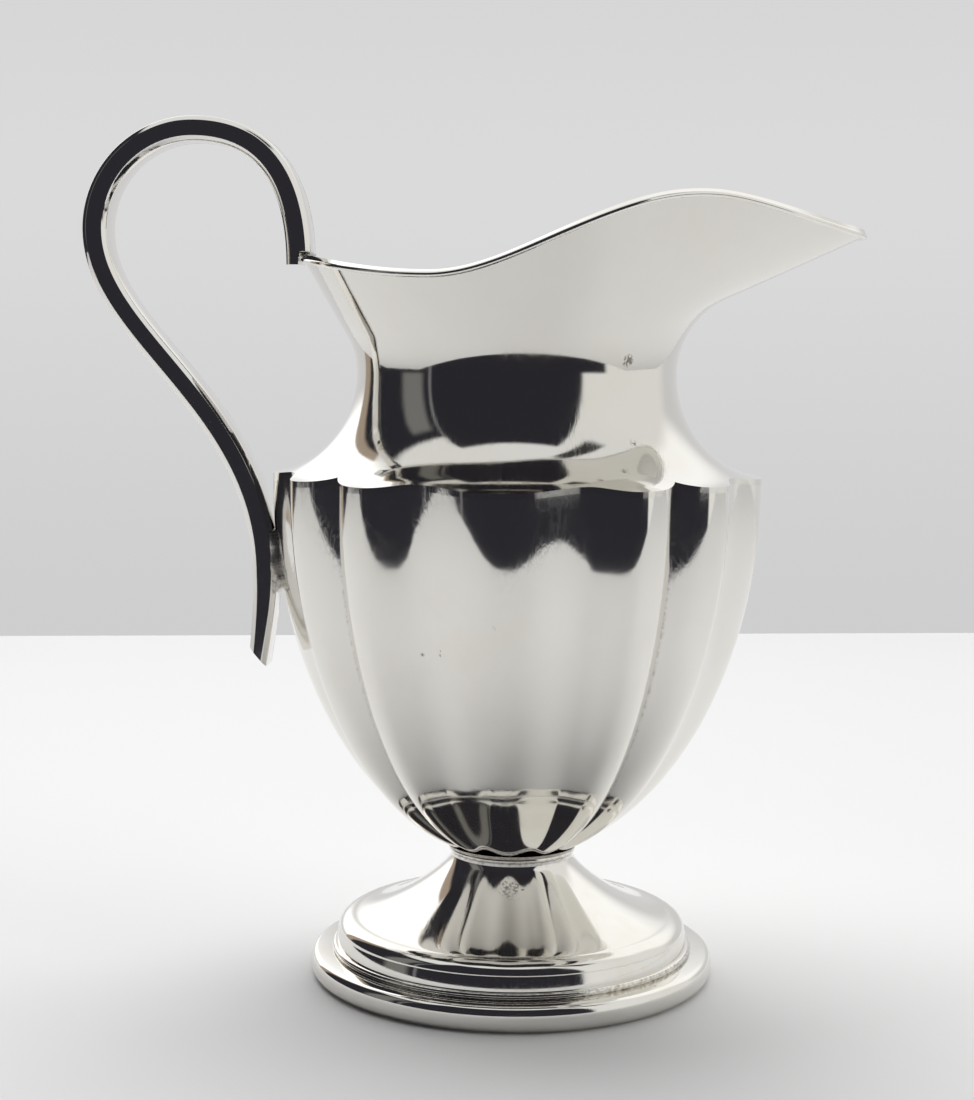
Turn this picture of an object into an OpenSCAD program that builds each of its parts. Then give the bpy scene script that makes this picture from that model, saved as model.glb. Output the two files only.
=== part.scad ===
// Silver cream jug: lobed bowl on a round spun foot, a plain neck flaring into
// a high helmet spout, and a looped strap handle. Millimetres, +Z up, spout +X.
// The origin is the centre of the foot where it stands on the table.

/* [Bowl] */
// Radius of the bowl at the four wide lobes
bowl_r = 30.6; // [28:0.1:34]
// Height of the shoulder edge above the table
shoulder_z = 63.4; // [60:0.1:66]
// Depth of the bowl from shoulder edge to its round bottom
bowl_depth = 48.4; // [46:0.1:50]
// Half angle of a wide lobe
wide_half = 20.5; // [18:0.5:26]
// Recess of the soft valley beside each wide lobe
valley_depth = 2.5; // [0.5:0.1:3]
// Recess of the sharp crease between each pair of narrow lobes
crease_depth = 3; // [0.5:0.1:4]
// Recess of the crest of a narrow lobe
crest_depth = 0.4; // [0:0.1:1]
// Thickness of the sheet in bowl and neck
sheet = 0.7; // [0.6:0.05:1]

/* [Neck and mouth] */
// Radius of the neck at its waist
waist_r = 19.9; // [18:0.1:21]
// Height of the waist
waist_z = 76.3; // [74:0.1:78]
// How far the hollow shoulder curve reaches out from the waist
cavetto_reach = 12.1; // [11.5:0.1:13]
// Slope of the mouth wall above the horizontal, at the back
back_slope = 60; // [55:1:70]
// Slope of the mouth wall above the horizontal, at the sides
side_slope = 68; // [60:1:75]
// Slope of the keel of the spout above the horizontal
keel_slope = 24.8; // [22:0.1:30]
// Narrowness of the spout, larger is narrower
beak = 9; // [5:1:12]
// Height of the mouth edge at the tip of the spout
tip_z = 93.2; // [91:0.1:95]
// Height of the hump of the mouth edge
hump_z = 97.4; // [95:0.1:100]
// Height of the dip of the mouth edge behind the hump
dip_z = 88; // [86:0.1:90]
// Height of the mouth edge at the handle
back_z = 90.2; // [89:0.1:92]
// Radius of the half round wire around the mouth
wire_r = 0.35; // [0.25:0.05:0.5]

/* [Foot] */
// Outside radius of the foot ring
foot_r = 25.5; // [24:0.1:27]
// Height of the foot ring
foot_ring_h = 3.3; // [3:0.1:3.6]
// Radius of the upright band of the foot above its ring
band_r = 22.15; // [21.5:0.05:22.5]
// Height of the crest of the upright band
band_z = 5.9; // [5.5:0.1:6.4]
// Radius of the neck of the foot under the bowl
foot_neck_r = 7.7; // [7:0.1:8.5]
// Height of the top of the foot neck
foot_neck_z = 15.3; // [15:0.1:15.5]
// Thickness of the sheet of the foot
foot_sheet = 0.7; // [0.6:0.05:0.9]

/* [Handle] */
// Width of the strap across the jug
strap_w = 5.4; // [4:0.1:7]
// Thickness of the strap around the loop
strap_t = 3.1; // [2.6:0.1:3.4]
// Thickness of the strap at its free tail
tail_t = 2.2; // [1.8:0.1:2.6]
// Width of the bevel on each long edge
bevel = 0.6; // [0.3:0.05:0.8]
// Height of the top of the loop at the middle of the strap
loop_z = 105.9; // [103:0.1:108]
// Distance of the back of the loop from the axis at the middle of the strap
loop_x = 52.7; // [50:0.1:56]
// Height of the widest point of the loop
loop_back_z = 93.5; // [92:0.1:95]
// Height of the free end of the tail
tail_z = 38.6; // [37:0.1:41]

/* [Hidden] */
steps = 120;        // divisions around the jug, a multiple of eight
bowl_rows = 16;     // rows from the bottom of the bowl to its edge
neck_rows = 7;      // rows in each stretch of the neck
strap_rows = 14;    // sections in each stretch of the handle
$fa = 3;
$fs = 0.4;
narrow = 45 - wide_half;                // angle of one narrow lobe
cavetto_rise = waist_z - shoulder_z;    // height of the hollow shoulder curve
cavetto_r = waist_r + cavetto_reach;    // radius at the centre of that curve
hump_at = 38;                           // angles of the hump and the dip of the
dip_at = 112;                           // mouth edge, from the spout
collet_r = 8;
collet_z = foot_neck_z + 1.05;

silver = [0.80, 0.80, 0.78];
solder = [0.70, 0.70, 0.68];

// ---- shapes shared by the sub-parts -------------------------------------

// smooth change from a to b while x goes from x0 to x1
function blend(a, b, x, x0, x1) = a + (b - a) * (1 - cos(180 * (x - x0) / (x1 - x0))) / 2;

// angle from the middle of the nearest wide lobe, 0 to 45
function lobe_angle(a) = let (m = abs(a) % 90) min(m, 90 - m);

// how far the wall stands in from the full radius at angle a
function recess(a) = let (p = lobe_angle(a), half = narrow / 2)
    p < wide_half ? blend(0, valley_depth, p, 0, wide_half)
    : p < wide_half + half ? blend(valley_depth, crest_depth, p, wide_half, wide_half + half)
    : crest_depth + (crease_depth - crest_depth) * pow((p - wide_half - half) / half, 2);

// radius and height of the scalloped shoulder edge at angle a
function edge_r(a) = bowl_r - recess(a);
function edge_turn(a) = acos((cavetto_r - edge_r(a)) / cavetto_reach);
function edge_z(a) = waist_z - cavetto_rise * sin(edge_turn(a));

// slope and rounding of the mouth wall, and height of the mouth edge, at angle a
function slope(a) = side_slope + (back_slope - side_slope) * pow(max(0, -cos(a)), 2)
    + (keel_slope - side_slope) * pow(max(0, cos(a)), beak);
function rounding(a) = 12 - 4 * pow(max(0, -cos(a)), 2) - 2 * pow(max(0, cos(a)), 2);
function mouth_z(a) = let (b = abs(a) > 180 ? 360 - abs(a) : abs(a))
    b < hump_at ? blend(tip_z, hump_z, b, 0, hump_at)
    : b < dip_at ? blend(hump_z, dip_z, b, hump_at, dip_at)
    : blend(dip_z, back_z, b, dip_at, 180);

// unit vector at right angles to a direction in the [r, z] plane
function side(d) = [d[1], -d[0]] / norm(d);

// [r, z] points and outward normals up the bowl wall at angle a, u from 0 to 1
function bowl_point(a, u) = [edge_r(a) * sin(90 * u),
    edge_z(a) - sheet - (edge_z(a) - sheet - (shoulder_z - bowl_depth)) * cos(90 * u)];
function bowl_normal(a, u) = side([edge_r(a) * cos(90 * u), bowl_depth * sin(90 * u)]);

// the same up the hollow shoulder, the rounding above the waist and the flare
function cavetto_point(a, u) = let (g = edge_turn(a) * (1 - u))
    [cavetto_r - cavetto_reach * cos(g), waist_z - cavetto_rise * sin(g)];
function cavetto_normal(a, u) = let (g = edge_turn(a) * (1 - u))
    side([-cavetto_reach * sin(g), cavetto_rise * cos(g)]);
function turn_point(a, u) = let (g = (90 - slope(a)) * u)
    [waist_r + rounding(a) * (1 - cos(g)), waist_z + rounding(a) * sin(g)];
function turn_normal(a, u) = let (g = (90 - slope(a)) * u) [cos(g), -sin(g)];
function flare_dir(a) = [cos(slope(a)), sin(slope(a))];
function flare_point(a, u) = let (p = turn_point(a, 1))
    p + flare_dir(a) * (mouth_z(a) - p[1]) / sin(slope(a)) * u;

// outline of the neck sheet from the shoulder edge to the mouth edge:
// d = 0 gives the outer face, d = sheet the inner one
function neck_line(a, d) = concat(
    [d == 0 ? cavetto_point(a, 0) : cavetto_point(a, 0) - [0, d]],
    [for (i = [1 : neck_rows]) cavetto_point(a, i / neck_rows) - d * cavetto_normal(a, i / neck_rows)],
    [for (i = [1 : neck_rows]) turn_point(a, i / neck_rows) - d * turn_normal(a, i / neck_rows)],
    [for (i = [1 : neck_rows]) flare_point(a, i / neck_rows) - d * side(flare_dir(a))]);

// point of an [r, z] pair at angle a
function at(a, p) = [p[0] * cos(a), p[0] * sin(a), p[1]];

// closed ring of any [r, z] loops: every loop has the same number of points
module ring(loops) {
    n = len(loops);
    m = len(loops[0]);
    polyhedron(
        points = [for (i = [0 : n - 1]) for (p = loops[i]) at(360 * i / n, p)],
        faces = [for (i = [0 : n - 1]) for (j = [0 : m - 1]) let (k = (i + 1) % n, l = (j + 1) % m)
            each [[i * m + j, k * m + l, k * m + j], [i * m + j, i * m + l, k * m + l]]],
        convexity = 8);
}

// solid dome: outline rows from the pole outwards, closed at both ends by the pole points
module dome(lines) {
    n = len(lines);
    m = len(lines[0]);
    last = n * (m - 2);
    function row(i, j) = i * (m - 2) + j - 1;
    polyhedron(
        points = concat([for (i = [0 : n - 1]) for (j = [1 : m - 2]) at(360 * i / n, lines[i][j])],
            [at(0, lines[0][0]), at(0, lines[0][m - 1])]),
        faces = concat(
            [for (i = [0 : n - 1]) for (j = [1 : m - 3]) let (k = (i + 1) % n)
                each [[row(i, j), row(k, j + 1), row(k, j)], [row(i, j), row(i, j + 1), row(k, j + 1)]]],
            [for (i = [0 : n - 1]) [last, row(i, 1), row((i + 1) % n, 1)]],
            [for (i = [0 : n - 1]) [last + 1, row((i + 1) % n, m - 2), row(i, m - 2)]]),
        convexity = 8);
}

// points around an arc of an ellipse in the [r, z] plane
function arc(c, rx, rz, from, to, n = 8) =
    [for (i = [0 : n]) let (g = from + (to - from) * i / n) c + [rx * cos(g), rz * sin(g)]];

// the same, with a full shoulder in the upper half
function full_arc(c, rx, rz, from, to, n = 16) = [for (i = [0 : n])
    let (g = from + (to - from) * i / n)
    c + (g < 0 ? [rx * cos(g), rz * sin(g)] : [rx * pow(cos(g), 0.6), rz * pow(sin(g), 0.75)])];

// cubic curve through four control points, and its direction
function curve(p, u) = pow(1 - u, 3) * p[0] + 3 * u * pow(1 - u, 2) * p[1]
    + 3 * u * u * (1 - u) * p[2] + pow(u, 3) * p[3];
function curve_dir(p, u) = pow(1 - u, 2) * (p[1] - p[0]) + 2 * u * (1 - u) * (p[2] - p[1])
    + u * u * (p[3] - p[2]);

// ---- bowl, neck and mouth ------------------------------------------------

function outer_wall(a) = [for (i = [0 : bowl_rows]) bowl_point(a, i / bowl_rows)];
function inner_wall(a) = [for (i = [bowl_rows : -1 : 0]) let (u = i / bowl_rows)
    bowl_point(a, u) - sheet * bowl_normal(a, u)];

// raised bowl with twelve lobes, closed and round at the bottom
module bowl() color(silver) dome([for (i = [0 : steps - 1]) let (a = 360 * i / steps)
    concat(outer_wall(a), inner_wall(a))]);

// the space the outside of the bowl takes up, for cutting what is soldered to it
module bowl_body() dome([for (i = [0 : steps - 1]) let (a = 360 * i / steps)
    concat(outer_wall(a), [[0, edge_z(a) - sheet]])]);

// hollow shoulder, neck and flared mouth, raised in one piece
module neck_and_spout() color(silver) ring([for (i = [0 : steps - 1]) let (a = 360 * i / steps)
    concat(neck_line(a, 0), [for (j = [3 * neck_rows : -1 : 0]) neck_line(a, sheet)[j]])]);

// half round wire laid against the outside of the mouth edge
module rim_wire() color(silver) ring([for (i = [0 : steps - 1]) let (a = 360 * i / steps,
        d = flare_dir(a), c = flare_point(a, 1) - wire_r * d)
    [for (g = [-90 : 30 : 90]) c + wire_r * (cos(g) * side(d) + sin(g) * d)]]);

// fillet of solder inside the shoulder, where the neck meets the bowl
module shoulder_solder() {
    leg = 0.9;
    function under(a, d) = let (p = neck_line(a, sheet), q = p[1] - p[0]) p[0] - q * d / q[0];
    color(solder) ring([for (i = [0 : steps - 1]) let (a = 360 * i / steps, r = edge_r(a) - sheet)
        [[r, edge_z(a) - sheet - leg], under(a, sheet), under(a, sheet + leg)]]);
}

// ---- foot ------------------------------------------------------------------

collet_in = 6.6;
knee = [19.9, 7.5];     // where the hollow sweep of the foot turns over
foot_in = band_r - foot_sheet;

// outline of the foot sheet from its neck to its lower edge, drawn in by d
function foot_line(d) = concat(
    [for (i = [0 : 12]) let (g = 90 * i / 12)
        [knee[0] - d * sin(g) - (knee[0] - foot_neck_r) * pow(cos(g), 1.5) - d * cos(g),
         foot_neck_z - d * sin(g) - (foot_neck_z - knee[1]) * pow(sin(g), 1.5)]],
    arc([knee[0], band_z], band_r - knee[0] - 0.1 - d, knee[1] - band_z - d, 84, 0),
    [[band_r - d, band_z - 0.15], [band_r - d, foot_ring_h]]);

module foot_shell() color(silver) rotate_extrude()
    polygon(concat(foot_line(0), [for (i = [len(foot_line(0)) - 1 : -1 : 0]) foot_line(foot_sheet)[i]]));

// moulded ring under the foot: a full round, a quirk and a small bead
module foot_ring() {
    bulge = 1.35;
    bead = 0.42;
    color(silver) rotate_extrude() polygon(concat(
        [[foot_in, 0]],
        full_arc([foot_r - bulge, foot_ring_h / 2], bulge, foot_ring_h / 2, -90, 80),
        arc([band_r + 0.25, foot_ring_h + bead], bead, bead, -60, 90),
        [[band_r, foot_ring_h + 2 * bead], [band_r, foot_ring_h], [foot_in, foot_ring_h]]));
}

// fillet of solder inside the foot, between sheet and ring
module foot_ring_solder() color(solder) rotate_extrude()
    polygon([[foot_in, foot_ring_h + 0.7], [foot_in - 0.6, foot_ring_h - 0.3],
        [foot_in, foot_ring_h - 0.9]]);

// ring between foot and bowl, its top sloped to the bottom of the bowl
module foot_collet() color(silver) rotate_extrude()
    polygon(concat([[collet_in, foot_neck_z], [foot_neck_r, foot_neck_z]],
        arc([collet_r - 0.4, foot_neck_z + 0.75], 0.4, 0.4, -70, 60, 6),
        [[collet_in, collet_z - 0.25]]));

// thin line of solder around the top of the collet
module foot_solder() color(solder) rotate_extrude()
    polygon([[collet_r - 0.3, collet_z + 0.12], [collet_r - 0.02, collet_z - 0.1],
        [collet_r + 0.35, collet_z + 0.37]]);

// ---- handle ----------------------------------------------------------------

root = [-27.05, 89.3];      // end of the strap outside the mouth edge
crown_x = -40.2;            // top of the loop
seat = [-31.4, 50.5];       // middle of the joint with the bowl
tail_x = -31;               // lowest point of the tail
tail_cut = 50;              // angle of the cut across the tail
notch = [-27, 90.7];        // corner of the rebate over the mouth edge

// the middle line of the strap, stretch by stretch
stretches = [
    [root, [root[0], 101], [-32.2, loop_z], [crown_x, loop_z]],
    [[crown_x, loop_z], [-47, loop_z], [-loop_x, loop_back_z + 6.8], [-loop_x, loop_back_z]],
    [[-loop_x, loop_back_z], [-loop_x, 80], [seat[0], 72], seat],
    [seat, [seat[0], 46.5], [-31.9, 43], [-32.6, tail_z - 1]]];

// one eight-sided section: middle p, direction d, thickness t
function section(p, d, t) = let (n = side(d), h = t / 2, w = strap_w / 2)
    [for (q = [[h, w - bevel], [h - bevel, w], [bevel - h, w], [-h, w - bevel],
        [-h, bevel - w], [bevel - h, -w], [h - bevel, -w], [h, bevel - w]])
        [p[0] + n[0] * q[0], q[1], p[1] + n[1] * q[0]]];

// flat strap with bevelled edges, rebated over the mouth and cut aslant at its tail
module strap() {
    last = len(stretches) - 1;
    sections = concat(
        [for (s = [0 : last]) for (i = [0 : strap_rows - 1]) let (u = i / strap_rows)
            section(curve(stretches[s], u), curve_dir(stretches[s], u),
                s < last ? strap_t : strap_t + (tail_t - strap_t) * u)],
        [section(curve(stretches[last], 1), curve_dir(stretches[last], 1), tail_t)]);
    n = len(sections);
    difference() {
        polyhedron(points = [for (s = sections) each s],
            faces = concat([[for (j = [0 : 7]) j]], [[for (j = [7 : -1 : 0]) 8 * (n - 1) + j]],
                [for (i = [0 : n - 2]) for (j = [0 : 7]) let (a = 8 * i, b = a + 8, k = (j + 1) % 8)
                    each [[a + j, b + k, a + k], [a + j, b + j, b + k]]]),
            convexity = 6);
        translate([notch[0], -strap_w, root[1] - 5]) cube([5, 2 * strap_w, notch[1] - root[1] + 5]);
        translate([tail_x, 0, tail_z]) rotate([0, tail_cut, 0])
            translate([-6, -strap_w, -6]) cube([12, 2 * strap_w, 6]);
    }
}

module handle() color(silver) strap();

// solder bead in the rebate, over the mouth edge
module handle_top_solder() color(solder)
    translate([0, strap_w / 2 + 0.3, 0]) rotate([90, 0, 0]) linear_extrude(strap_w + 0.6)
        polygon([notch, notch + [0, -0.5], [-26.62, 90.3], [-26, 90.66], [-25.6, 90.4], [-25.45, notch[1]]]);

// solder pad filling between the strap and the round of the bowl
module handle_tail_solder() {
    w = strap_w + 0.6;
    color(solder) difference() {
        translate([0, w / 2, 0]) rotate([90, 0, 0]) linear_extrude(w)
            polygon([seat + [0.8, -2.9], seat + [0.5, 1], seat + [0.3, 5.6],
                seat + [3, 7.2], seat + [3, -1.5]]);
        bowl_body();
        strap();
    }
}

// ---- the whole jug ---------------------------------------------------------

bowl();
neck_and_spout();
rim_wire();
shoulder_solder();
foot_collet();
foot_solder();
foot_shell();
foot_ring();
foot_ring_solder();
handle();
handle_top_solder();
handle_tail_solder();
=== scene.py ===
# %% [markdown]
# # A silver cream jug
# The jug is made the way a silversmith makes it: a lobed bowl raised from sheet,
# a plain neck flaring into a spout, a wire round the mouth, a spun foot and a
# strap handle, all soldered together. Each of these is a piece of its own here.
#
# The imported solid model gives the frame: metres, Z up, spout towards +X. The
# visual pieces follow the same measures with many more facets, so each one
# stands exactly where its solid stands.

# %% Load the frame
import math

import bmesh
import bpy
import numpy as np
from mathutils import Matrix, Vector


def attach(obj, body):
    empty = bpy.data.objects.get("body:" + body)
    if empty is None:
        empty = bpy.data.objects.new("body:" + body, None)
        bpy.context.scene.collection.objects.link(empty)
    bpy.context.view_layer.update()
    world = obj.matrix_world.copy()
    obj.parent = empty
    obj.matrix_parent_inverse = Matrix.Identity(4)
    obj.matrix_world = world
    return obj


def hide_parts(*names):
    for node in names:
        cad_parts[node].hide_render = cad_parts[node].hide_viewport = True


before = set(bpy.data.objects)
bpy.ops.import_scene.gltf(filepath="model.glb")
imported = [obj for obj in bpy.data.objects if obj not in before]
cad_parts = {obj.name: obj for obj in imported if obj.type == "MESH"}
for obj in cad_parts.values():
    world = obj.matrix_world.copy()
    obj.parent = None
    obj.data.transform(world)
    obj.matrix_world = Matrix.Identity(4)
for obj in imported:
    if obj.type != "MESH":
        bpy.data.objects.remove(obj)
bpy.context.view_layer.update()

MM = 0.001

# %% [markdown]
# ## Camera
# The jug is seen from its side, a little from above, with a short telephoto lens.
# A camera can be turned with Euler angles or a tracking constraint. Here its
# three axes are worked out as vectors instead, because then heading, tilt and
# roll stay readable as separate numbers.

# %% Camera
CAMERA_AZIMUTH = math.radians(3.5)    # where the camera stands, from straight ahead
CAMERA_DISTANCE = 255 * MM            # from the jug's axis
CAMERA_HEIGHT = 81.5 * MM
CAMERA_YAW = 0.0138                   # radians, turned to the left of the axis
CAMERA_TILT = 0.1075                  # radians, looking down
CAMERA_ROLL = 0.0085                  # radians, leaning to one side
LENS = 66.83                          # focal length, mm

heading = CAMERA_AZIMUTH + CAMERA_YAW
ahead = Vector((-math.sin(heading), math.cos(heading), 0))
forward = ahead * math.cos(CAMERA_TILT) - Vector((0, 0, math.sin(CAMERA_TILT)))
right = forward.cross(Vector((0, 0, 1))).normalized()
up = right.cross(forward)
camera_x = right * math.cos(CAMERA_ROLL) + up * math.sin(CAMERA_ROLL)
camera_y = up * math.cos(CAMERA_ROLL) - right * math.sin(CAMERA_ROLL)

camera_data = bpy.data.cameras.new("camera")
camera_data.sensor_width = 36
camera_data.lens = LENS
camera_data.clip_start = 0.01
camera = bpy.data.objects.new("camera", camera_data)
bpy.context.collection.objects.link(camera)
camera.matrix_world = (
    Matrix.Translation((CAMERA_DISTANCE * math.sin(CAMERA_AZIMUTH),
                        -CAMERA_DISTANCE * math.cos(CAMERA_AZIMUTH), CAMERA_HEIGHT))
    @ Matrix((camera_x, camera_y, -forward)).transposed().to_4x4())
bpy.context.scene.camera = camera
print("camera at, mm:", [round(v / MM, 1) for v in camera.location])

# %% [markdown]
# ## Measures of the jug
# Sizes are in millimetres and turned into metres only when a mesh is made. Every
# outline is a pair (distance from the axis, height), worked out for all angles
# round the jug at once, which numpy does well.

# %% Measures
SHEET = 0.7                              # thickness of bowl and neck
BOWL_R, SHOULDER_Z, BOWL_DEPTH = 30.6, 63.4, 48.4
WIDE_HALF = 20.5                         # half a wide lobe, degrees
VALLEY, CREASE, CREST = 2.5, 3.0, 0.4    # how far each stands in from the full radius
WAIST_R, WAIST_Z, REACH = 19.9, 76.3, 12.1
BACK_SLOPE, SIDE_SLOPE, KEEL_SLOPE = 60, 68, 24.8    # of the flare, degrees
BEAK = 9                                 # how narrow the spout is, as a power
TIP_Z, HUMP_Z, DIP_Z, BACK_Z = 93.2, 97.4, 88.0, 90.2    # heights of the mouth edge
HUMP_AT, DIP_AT = 38, 112                # degrees from the spout
WIRE_R = 0.35
FOOT_R, RING_H = 25.5, 3.3               # moulded ring
BULGE, BEAD = 1.35, 0.42                 # its round and its bead
BAND_R, BAND_Z, KNEE = 22.15, 5.9, (19.9, 7.5)       # upright band and dome of the foot
FOOT_NECK_R, FOOT_NECK_Z, FOOT_SHEET = 7.7, 15.3, 0.7
STRAP_W, STRAP_T, TAIL_T, BEVEL = 5.4, 3.1, 2.2, 0.6
NARROW = 45 - WIDE_HALF                  # a whole narrow lobe, degrees
RISE = WAIST_Z - SHOULDER_Z
CAVETTO_R = WAIST_R + REACH
FOOT_IN = BAND_R - FOOT_SHEET


def cosd(a):
    return np.cos(np.radians(a))


def sind(a):
    return np.sin(np.radians(a))


def ease(a, b, x, x0, x1):
    """Smooth change from a to b while x goes from x0 to x1."""
    return a + (b - a) * (1 - cosd(180 * np.clip((x - x0) / (x1 - x0), 0, 1))) / 2


def side(d):
    """Unit vectors at right angles to directions in the outline's plane."""
    n = np.stack([d[..., 1], -d[..., 0]], -1)
    return n / np.linalg.norm(n, axis=-1, keepdims=True)


def pair(r, z):
    r, z = np.broadcast_arrays(r, z)
    return np.stack([r, z], -1).astype(float)


# %% [markdown]
# ## Lobes
# Four wide lobes face the spout, the handle and the two sides, and between each
# two of them stand two narrow lobes with a sharp crease between them. One
# function says how far the wall stands in from the full radius at any angle.

# %% Lobes
def lobe_angle(a):
    """Angle from the middle of the nearest wide lobe, 0 to 45 degrees."""
    turned_back = np.abs(a) % 90
    return np.minimum(turned_back, 90 - turned_back)


def recess(a):
    """How far the wall stands in from the full radius."""
    p, half = lobe_angle(a), NARROW / 2
    valley = ease(0, VALLEY, p, 0, WIDE_HALF)
    crest = ease(VALLEY, CREST, p, WIDE_HALF, WIDE_HALF + half)
    crease = CREST + (CREASE - CREST) * np.clip((p - WIDE_HALF - half) / half, 0, 1) ** 2
    return np.where(p < WIDE_HALF, valley, np.where(p < WIDE_HALF + half, crest, crease))


def edge_r(a):
    return BOWL_R - recess(a)


def edge_turn(a):
    """Angle by which the hollow shoulder has to turn to meet the bowl's edge."""
    return np.degrees(np.arccos((CAVETTO_R - edge_r(a)) / REACH))


def edge_z(a):
    return WAIST_Z - RISE * sind(edge_turn(a))


ANGLE_STEP = 0.75    # degrees between two outlines round the jug
angles = np.arange(0, 360, ANGLE_STEP)
print("shoulder edge, mm: radius", edge_r(angles).min().round(2), "to", edge_r(angles).max(),
      "height", edge_z(angles).min().round(2), "to", edge_z(angles).max().round(2))


# %% [markdown]
# ## Turning outlines into meshes
# A closed wall is a grid of points: one loop of the outline for each angle. The
# loops could be skinned with a Screw or Skin modifier, but the outline changes
# with the angle, so the grid is built directly. `wall` closes the grid both
# ways; `dome` also closes it at the axis with a fan of triangles.

# %% Mesh helpers
SAME_PLACE = 1e-7    # metres; points closer than this are one


def linked(name, data):
    obj = bpy.data.objects.new(name, data)
    bpy.context.collection.objects.link(obj)
    return obj


def cleaned(name, mesh, sharp=35):
    """Object of a mesh, merged, facing out, smooth but for edges over `sharp` degrees."""
    bm = bmesh.new()
    bm.from_mesh(mesh)
    bmesh.ops.remove_doubles(bm, verts=bm.verts, dist=SAME_PLACE)
    bmesh.ops.recalc_face_normals(bm, faces=bm.faces)
    bm.to_mesh(mesh)
    bm.free()
    mesh.shade_smooth()
    mesh.set_sharp_from_angle(angle=math.radians(sharp))
    mesh.calc_loop_triangles()
    print(name, len(mesh.loop_triangles), "triangles")
    return linked(name, mesh)


def mesh_from(name, vertices, edges=(), faces=()):
    """Mesh in metres from points in millimetres."""
    mesh = bpy.data.meshes.new(name)
    mesh.from_pydata([tuple(v) for v in np.asarray(vertices) * MM], edges, faces)
    return mesh


def finish_mesh(name, vertices, faces, sharp=35):
    """Finished object straight from points in millimetres and their faces."""
    return cleaned(name, mesh_from(name, vertices, faces=faces), sharp)


def spun(loops, a):
    """Points of [angle, point, (r, z)] outlines, as [angle, point, xyz]."""
    r, z = loops[..., 0], loops[..., 1]
    return np.stack([r * cosd(a)[:, None], r * sind(a)[:, None], z], -1)


def wall(name, loops, a):
    """Closed wall from closed outlines, one for each angle."""
    n, m = loops.shape[:2]
    faces = [(i * m + j, (i + 1) % n * m + j, (i + 1) % n * m + (j + 1) % m, i * m + (j + 1) % m)
             for i in range(n) for j in range(m)]
    return finish_mesh(name, spun(loops, a).reshape(-1, 3), faces)


def dome(name, loops, a):
    """The same for outlines that begin and end on the axis."""
    n, m = loops.shape[:2]
    points = spun(loops, a)
    inner = points[:, 1:-1].reshape(-1, 3)
    w = m - 2
    faces = [(i * w + j, (i + 1) % n * w + j, (i + 1) % n * w + j + 1, i * w + j + 1)
             for i in range(n) for j in range(w - 1)]
    faces += [(n * w, (i + 1) % n * w, i * w) for i in range(n)]
    faces += [(n * w + 1, i * w + w - 1, (i + 1) % n * w + w - 1) for i in range(n)]
    return finish_mesh(name, np.vstack([inner, points[0, 0], points[0, -1]]), faces)


# %% [markdown]
# ## Bowl
# The bowl is hammered up from a flat disc, so its wall is one even sheet that
# closes in a round bottom. Each outline runs from the bottom up the outside,
# over the shoulder edge and down the inside.

# %% Bowl
def bowl_outline(a, u):
    """Points of the bowl's outside and their normals; u goes from bottom 0 to shoulder 1."""
    a, u = a[:, None], u[None, :]
    bottom = SHOULDER_Z - BOWL_DEPTH
    point = pair(edge_r(a) * sind(90 * u),
                 edge_z(a) - SHEET - (edge_z(a) - SHEET - bottom) * cosd(90 * u))
    normal = side(pair(edge_r(a) * cosd(90 * u), BOWL_DEPTH * sind(90 * u)))
    return point, normal


OUTER_POINTS, INNER_POINTS = 57, 33      # of an outline; the outside is the one looked at
outer = bowl_outline(angles, np.linspace(0, 1, OUTER_POINTS))[0]
inner, outward = bowl_outline(angles, np.linspace(1, 0, INNER_POINTS))
bowl = dome("bowl_sheet", np.concatenate([outer, inner - SHEET * outward], axis=1), angles)

# %% [markdown]
# ## Neck and spout
# Above the scalloped shoulder the wall sweeps in hollow to the waist, turns over
# and flares out straight to the mouth. The slope of the flare falls quickly
# towards the spout, which makes the keel, and the mouth edge rises in a hump
# behind the tip.

# %% Neck and spout
def toward(a, sign):
    """1 towards the spout (sign 1) or the handle (sign -1), 0 from the side onwards."""
    return np.maximum(0, sign * cosd(a))


def slope(a):
    """Angle of the flare above the horizontal."""
    return (SIDE_SLOPE + (BACK_SLOPE - SIDE_SLOPE) * toward(a, -1) ** 2
            + (KEEL_SLOPE - SIDE_SLOPE) * toward(a, 1) ** BEAK)


def rounding(a):
    """Radius of the bend between waist and flare."""
    return 12 - 4 * toward(a, -1) ** 2 - 2 * toward(a, 1) ** 2


def mouth_z(a):
    """Height of the mouth edge: tip, hump, dip and back, joined by smooth changes."""
    b = np.where(np.abs(a) > 180, 360 - np.abs(a), np.abs(a))
    return np.where(b < HUMP_AT, ease(TIP_Z, HUMP_Z, b, 0, HUMP_AT),
                    np.where(b < DIP_AT, ease(HUMP_Z, DIP_Z, b, HUMP_AT, DIP_AT),
                             ease(DIP_Z, BACK_Z, b, DIP_AT, 180)))


def flare_dir(a):
    return pair(cosd(slope(a)), sind(slope(a)))


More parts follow.
